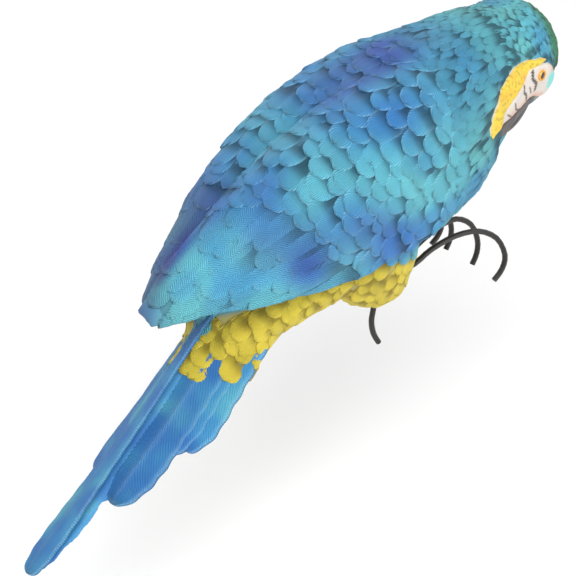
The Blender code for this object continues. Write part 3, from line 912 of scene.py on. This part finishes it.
def tail_piece(paint):
    rng = random.Random(SEED + 1)
    tail = Plumage()
    for side, reach in ((-1, 1.0), (1, LEFT_SHARE)):
        for blade in TAIL_BLADES:
            lay_blade(tail, blade, side, reach, rng)
    lay_blade(tail, CENTRE_BLADE, 1, 1.0, rng)
    return tail.to_object("tail_feathers", paint)


# Face, eyes and beak

def blur(values, rounds):
    """Evens out a grid of heights."""
    for _ in range(rounds):
        padded = np.pad(values, 1, mode="edge")
        values = (padded[:-2, 1:-1] + padded[2:, 1:-1] + padded[1:-1, :-2] + padded[1:-1, 2:]
                  + 4 * padded[1:-1, 1:-1]) / 8
    return values


def half_widths(x, z, side):
    """Distance of the skin from the head's middle plane, or 0 where there is none."""
    start = head_to_bird(np.stack([x, np.full_like(x, side * RAY_START), z], -1)).reshape(-1, 3)
    way = (HEAD_TURN @ np.array((0.0, -side, 0.0))).tolist()
    hits = [SKIN_TREE.ray_cast(origin, way, RAY_LENGTH) for origin in start.tolist()]
    return np.array([RAY_START - hit[3] if hit[0] else 0.0 for hit in hits]).reshape(x.shape)


def side_surface(x, z, side):
    """Skin points seen from the head's side at its own x and z, with directions out."""
    y = half_widths(x, z, side)
    even = blur(np.maximum(y, SHORE), SHORE_ROUNDS)
    points = head_to_bird(np.stack([x, side * even, z], -1))
    normal = unit(np.cross(np.gradient(points, axis=1), np.gradient(points, axis=0)))
    outward = HEAD_TURN @ np.array((0.0, side, 0.0))
    return points, normal * np.sign(normal @ outward)[..., None], y > SHORE


def face_skin(x, z, grain, cloud):
    """Bare skin: pinker at its rims, sea green on the lore."""
    colour = np.broadcast_to(linear(CREAM), (*x.shape, 3))
    foot = smooth(distance(FACE_FOOT, x, z), *FOOT_PINK)
    top = smooth(distance(FACE_TOP, x, z), *TOP_PINK)
    colour = blend(colour, linear(PINK), 0.75 * foot + 0.6 * top + 0.25 * smooth(cloud, 0.0, 0.5))
    lore = depth_inside(LORE, x, z)
    return blend(colour, linear(SEA_GREEN), smooth(lore + 0.8 * grain, -0.4, 0.8))


def add_strokes(colour, height, x, z):
    """Rows of small dark feathers on the bare skin, a little raised."""
    for half_width, *stroke in STROKES:
        wave = STROKE_WAVE * np.sin(x * STROKE_PITCH + stroke[0][1])
        gap = distance(np.array(stroke), x, z) / half_width + wave
        colour = blend(colour, linear(INK), smooth(gap, 1.0, 0.45))
        height = height + STROKE_HEIGHT * smooth(gap, 1.1, 0.2)
    return colour, height


def band_tone(spots, cloud):
    """Yellow of the band, and the dimples in it."""
    dimple = smooth(mottle(spots, *DIMPLES), 0.12, 0.42)
    yellow = np.broadcast_to(linear(BAND_YELLOW), spots.shape)
    yellow = blend(yellow, linear(AMBER), smooth(cloud, -0.1, 0.5) * 0.6)
    return blend(yellow, linear(OLIVE) * 0.8, dimple * 0.6), dimple


def face_tone(x, z):
    """Paint and relief of the bare face, its strokes, the yellow band and the tucked bill."""
    spots = np.stack([x, np.zeros_like(x), z], -1)
    grain = mottle(spots, *GRAIN)
    cloud = mottle(spots, *FACE_CLOUD)
    white = depth_inside(FACE_EDGE, x, z)
    band = depth_inside(BAND, x, z)
    bill = depth_inside(MANDIBLE, x, z)
    colour, height = add_strokes(face_skin(x, z, grain, cloud), FACE_LIFT + 0.12 * cloud, x, z)
    yellow, dimple = band_tone(spots, cloud)
    in_band = smooth(band + 0.5 * grain, -0.3, 0.5)
    colour = blend(colour, yellow, in_band)
    height = height + in_band * (BAND_HEIGHT - DIMPLE_DEPTH * dimple)
    in_bill = smooth(bill, -0.2, 0.5) * (1 - smooth(white, -0.2, 0.4))
    colour = blend(colour, linear(BEAK_GREY), in_bill)
    height = height - in_bill * BILL_DEPTH
    eye = np.hypot(x - EYE_PLACE[0], z - EYE_PLACE[1])
    colour = blend(colour, linear(AMBER), smooth(eye, EYE_RADIUS + 1.3, EYE_RADIUS) * 0.5)
    margin = np.maximum.reduce([white, band, bill])
    return colour, height - FACE_DIP * smooth(margin, 1.2, -0.6), margin


def face_piece(name, side, material):
    """One side of the face as a thin relief on the skin."""
    z, x = np.meshgrid(np.arange(*FACE_ROWS, FACE_STEP), np.arange(*FACE_COLUMNS, FACE_STEP), indexing="ij")
    points, normal, seen = side_surface(x, z, side)
    colour, height, margin = face_tone(x, z)
    face = Plumage()
    face.add_grid(points + normal * height[..., None], colour, keep=seen & (margin > FACE_RIM))
    return face.to_object(name, material)


def eye_piece(name, side, material):
    """A domed eye in a raised ring."""
    rings = np.linspace(0.0, 1.0, EYE_RINGS)
    turns = np.linspace(0.0, 2 * math.pi, EYE_TURNS)
    rr, tt = np.meshgrid(rings, turns, indexing="ij")
    x = EYE_PLACE[0] + rr * EYE_RADIUS * np.cos(tt)
    z = EYE_PLACE[1] + rr * EYE_RADIUS * np.sin(tt)
    depth = half_widths(*np.reshape(EYE_PLACE, (2, 1)), side)[0]
    lid = smooth(rr, PUPIL_SHARE - 0.04, PUPIL_SHARE + 0.06)
    dome = np.sqrt(np.maximum(1 - (rr / (PUPIL_SHARE + 0.05)) ** 2, 0.0))
    across_lid = np.clip((rr - PUPIL_SHARE + 0.04) / (1.06 - PUPIL_SHARE), 0.0, 1.0)
    ring = LID_HEIGHT * np.sin(np.pi * across_lid) * lid
    y = depth + FACE_LIFT - 0.1 + dome + ring - LID_DIP * smooth(rr, 0.85, 1.0)
    points = head_to_bird(np.stack([x, side * y, z], -1))
    eye = Plumage()
    eye.add_grid(points, blend(np.broadcast_to(linear(EYE_BROWN), points.shape), linear(EYE_RING), lid))
    return eye.to_object(name, material)


def beak_piece(name, stations, material):
    """One half of the beak as a fine curved horn."""
    share = np.linspace(0.0, 1.0, BEAK_ROWS)
    turn = np.linspace(0.0, 2 * math.pi, BEAK_TURNS)
    table = along(stations, share)
    run = unit(np.gradient(table[:, :2], axis=0))
    ss, tt = np.meshgrid(share, turn, indexing="ij")
    closing = np.sqrt(np.maximum(1 - smooth(ss, 0.93, 1.0), 0.0))
    wide = (table[:, 2][:, None] + BEAK_PROUD) * np.sin(tt) * closing
    tall = (table[:, 3][:, None] + BEAK_PROUD) * np.cos(tt) * closing
    tall = tall + BEAK_RIDGE * np.exp(-((tt - math.pi) / 0.5) ** 2)
    x = table[:, 0][:, None] - run[:, 1][:, None] * tall
    z = table[:, 1][:, None] + run[:, 0][:, None] * tall
    local = np.stack([x, wide, z], -1)
    grain = mottle(local * (0.4, 1.0, 0.4), 3.0, 8.0)
    grey = np.broadcast_to(linear(BEAK_GREY), local.shape)
    beak = Plumage()
    beak.add_grid(head_to_bird(local), blend(grey, linear(INK) * 0.6, smooth(grain, -0.2, 0.4)))
    return beak.to_object(name, material)


# Materials

def new_material(name):
    material = bpy.data.materials.new(name)
    material.use_nodes = True
    tree = material.node_tree
    return material, tree, tree.nodes["Principled BSDF"]


def node(tree, kind, **values):
    made = tree.nodes.new(kind)
    for key, value in values.items():
        setattr(made, key, value)
    return made


def attribute(tree, name, socket="Fac"):
    return node(tree, "ShaderNodeAttribute", attribute_name=name).outputs[socket]


def maths(tree, operation, *inputs):
    made = node(tree, "ShaderNodeMath", operation=operation)
    for socket, value in zip(made.inputs, inputs):
        if isinstance(value, (int, float)):
            socket.default_value = value
        else:
            tree.links.new(value, socket)
    return made.outputs[0]


def product(tree, a, b):
    return maths(tree, "MULTIPLY", a, b)


def mix(tree, factor, a, b):
    """Colour between a and b, each a socket or a colour in linear light."""
    made = node(tree, "ShaderNodeMix", data_type="RGBA")
    for socket, value in ((made.inputs[0], factor), (made.inputs[6], a), (made.inputs[7], b)):
        if isinstance(value, (int, float)):
            socket.default_value = value
        elif isinstance(value, tuple):
            socket.default_value = (*value, 1.0)
        else:
            tree.links.new(value, socket)
    return made.outputs[2]


def noise_node(tree, scale, detail=4.0, roughness=0.6):
    made = node(tree, "ShaderNodeTexNoise")
    made.inputs["Scale"].default_value = scale
    made.inputs["Detail"].default_value = detail
    made.inputs["Roughness"].default_value = roughness
    place = node(tree, "ShaderNodeTexCoord")
    tree.links.new(place.outputs["Object"], made.inputs["Vector"])
    return made.outputs["Fac"]


def bump(tree, height, distance_m, strength, before=None):
    made = node(tree, "ShaderNodeBump")
    made.inputs["Distance"].default_value = distance_m
    made.inputs["Strength"].default_value = strength
    tree.links.new(height, made.inputs["Height"])
    if before:
        tree.links.new(before, made.inputs["Normal"])
    return made.outputs["Normal"]


def feather_material(name, washes, shares):
    """Brushed paint: painted shade with dark wash in the cuts, dry-brushed light on the rims and barbs."""
    blotch_tone, wash_tone, shade_and_wash_tone, rim_tone = washes
    blotch_share, wash_share, shade_and_wash_share, rim_share = shares
    material, tree, shader = new_material(name)
    paint = attribute(tree, "paint", "Color")
    barb = maths(tree, "SINE", product(tree, attribute(tree, "barb"), 2 * math.pi))
    grain = noise_node(tree, scale=420.0, detail=3.0)
    tone = mix(tree, product(tree, noise_node(tree, scale=55.0), blotch_share), paint, blotch_tone)
    wash = product(tree, maths(tree, "SUBTRACT", 0.25, barb), wash_share)
    tone = mix(tree, product(tree, wash, maths(tree, "ADD", 0.3, grain)), tone, wash_tone)
    # Painted shade with dark wash, darkest in the cuts between feathers and under their edges
    tone = mix(tree, product(tree, attribute(tree, "shade_and_wash"), shade_and_wash_share), tone, shade_and_wash_tone)
    light = product(tree, attribute(tree, "rim"), maths(tree, "ADD", 0.05, grain))
    tone = mix(tree, product(tree, light, rim_share), tone, rim_tone)
    tree.links.new(tone, shader.inputs["Base Color"])
    shader.inputs["Roughness"].default_value = 0.55
    shader.inputs["Specular IOR Level"].default_value = 0.35
    fine = bump(tree, grain, distance_m=0.0002, strength=0.35)
    barbs = bump(tree, barb, distance_m=0.00045, strength=0.8, before=fine)
    tree.links.new(barbs, shader.inputs["Normal"])
    return material


def face_material():
    """Painted skin: fine pores and creases under a thin wash."""
    material, tree, shader = new_material("painted_face")
    grain = noise_node(tree, scale=700.0)
    blotch = noise_node(tree, scale=130.0, detail=3.0)
    tone = mix(tree, product(tree, blotch, 0.22), attribute(tree, "paint", "Color"), SKIN_DIRT)
    tree.links.new(tone, shader.inputs["Base Color"])
    shader.inputs["Roughness"].default_value = 0.55
    shader.inputs["Specular IOR Level"].default_value = 0.3
    coarse = bump(tree, blotch, distance_m=0.0005, strength=0.4)
    pores = bump(tree, grain, distance_m=0.0003, strength=0.5, before=coarse)
    tree.links.new(pores, shader.inputs["Normal"])
    return material


def horn_material(name, rough_low, rough_high):
    """Smooth painted horn or a painted eye, with small streaks in colour and gloss."""
    material, tree, shader = new_material(name)
    streak = noise_node(tree, scale=300.0, detail=3.0)
    tone = mix(tree, product(tree, streak, 0.25), attribute(tree, "paint", "Color"), HORN_DIRT)
    tree.links.new(tone, shader.inputs["Base Color"])
    spread = product(tree, streak, rough_high - rough_low)
    tree.links.new(maths(tree, "ADD", rough_low, spread), shader.inputs["Roughness"])
    tree.links.new(bump(tree, streak, distance_m=0.0001, strength=0.25), shader.inputs["Normal"])
    return material


def wire_material():
    """Dark steel with blotches in tone and gloss."""
    material, tree, shader = new_material("dark_wire")
    blotch = noise_node(tree, scale=160.0)
    grain = noise_node(tree, scale=900.0, detail=3.0)
    tree.links.new(mix(tree, blotch, *WIRE_TONES), shader.inputs["Base Color"])
    rough = maths(tree, "ADD", 0.28, product(tree, blotch, 0.3))
    tree.links.new(rough, shader.inputs["Roughness"])
    shader.inputs["Metallic"].default_value = 0.6
    tree.links.new(bump(tree, grain, distance_m=0.0001, strength=0.3), shader.inputs["Normal"])
    return material


# Assembly

def finish_skin(material):
    """The skin lies just under the feathers and shows in the cuts between them."""
    lowered = SKIN_POINTS - SKIN_NORMALS * SKIN_INSET
    SKIN.data.vertices.foreach_set("co", (lowered * MM).ravel())
    none = np.zeros(len(SKIN_POINTS))
    is_open = (tail_share(SKIN_POINTS) > 0.5) | (SKIN_POINTS[:, 0] < OPEN_REAR)
    # Painted shade with dark wash on the skin between the feathers, less where it lies open
    marks = {"barb": none, "rim": none, "shade_and_wash": np.where(is_open, OPEN_SHADE, CUT_SHADE)}
    dress(SKIN.data, material, skin_paint(SKIN_POINTS), marks)
    return SKIN


def build_casting():
    """Every piece that takes the place of the CAD's casting."""
    blue = feather_material("painted_feathers", BLUE_WASHES, BLUE_SHARES)
    face = face_material()
    horn = horn_material("beak_horn", rough_low=0.3, rough_high=0.5)
    gloss = horn_material("painted_eye", rough_low=0.12, rough_high=0.22)
    yellow = feather_material("painted_yellow_feathers", YELLOW_WASHES, YELLOW_SHARES)
    pieces = feather_pieces(blue, yellow)
    pieces.append(tail_piece(blue))
    for side, name in SIDES:
        pieces.append(face_piece(name + "_face", side, face))
        pieces.append(eye_piece(name + "_eye", side, gloss))
    pieces.append(beak_piece("upper_beak", UPPER_BEAK, horn))
    pieces.append(beak_piece("lower_beak", LOWER_BEAK, horn))
    pieces.append(finish_skin(blue))
    for piece in pieces:
        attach(piece, "root")
        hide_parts(CASTING)


def finish_wires():
    material = wire_material()
    for name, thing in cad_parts.items():
        if name.endswith("_toe"):
            thing.data.materials.clear()
            thing.data.materials.append(material)


# Studio and camera

def add_floor():
    mesh = bpy.data.meshes.new("floor")
    corners = [(-1, -1), (1, -1), (1, 1), (-1, 1)]
    mesh.from_pydata([(a * FLOOR_HALF, b * FLOOR_HALF, FLOOR_Z) for a, b in corners], [], [(0, 1, 2, 3)])
    floor = add_object("floor", mesh)
    material, _, shader = new_material("studio_floor")
    shader.inputs["Base Color"].default_value = (FLOOR_TONE, FLOOR_TONE, FLOOR_TONE, 1.0)
    shader.inputs["Roughness"].default_value = 0.9
    mesh.materials.append(material)


def add_room():
    """White room that lights the bird softly and looks full white to the camera and in gloss."""
    world = bpy.data.worlds.new("studio")
    bpy.context.scene.world = world
    world.use_nodes = True
    tree = world.node_tree
    back = tree.nodes["Background"]
    path = node(tree, "ShaderNodeLightPath")
    seen = maths(tree, "MAXIMUM", path.outputs["Is Camera Ray"], path.outputs["Is Glossy Ray"])
    seen = maths(tree, "MAXIMUM", seen, path.outputs["Is Transmission Ray"])
    light = maths(tree, "ADD", ROOM_LIGHT, product(tree, seen, ROOM_SEEN))
    tree.links.new(light, back.inputs["Strength"])
    back.inputs["Color"].default_value = (1.0, 1.0, 1.0, 1.0)


def add_lamps():
    """Square lamps that point at the origin."""
    for name, (place, energy, size) in LAMPS.items():
        lamp = bpy.data.lights.new(name, "AREA")
        lamp.energy = energy
        lamp.size = size
        holder = add_object(name, lamp)
        holder.location = place
        holder.rotation_euler = (-Vector(place)).to_track_quat("-Z", "Y").to_euler()


def add_camera():
    sight = bpy.data.cameras.new("camera")
    sight.lens = VIEW_LENS
    sight.sensor_width = VIEW_SENSOR
    sight.clip_start = VIEW_CLIP
    holder = add_object("camera", sight)
    level = math.cos(VIEW_ELEVATION)
    back = Vector((math.sin(VIEW_AZIMUTH) * level, -math.cos(VIEW_AZIMUTH) * level, math.sin(VIEW_ELEVATION)))
    holder.location = VIEW_TARGET + back * VIEW_DISTANCE
    holder.rotation_euler = (-back).to_track_quat("-Z", "Y").to_euler()
    bpy.context.scene.camera = holder
    bpy.context.scene.view_settings.view_transform = "Standard"


build_casting()
finish_wires()
add_floor()
add_room()
add_lamps()
add_camera()
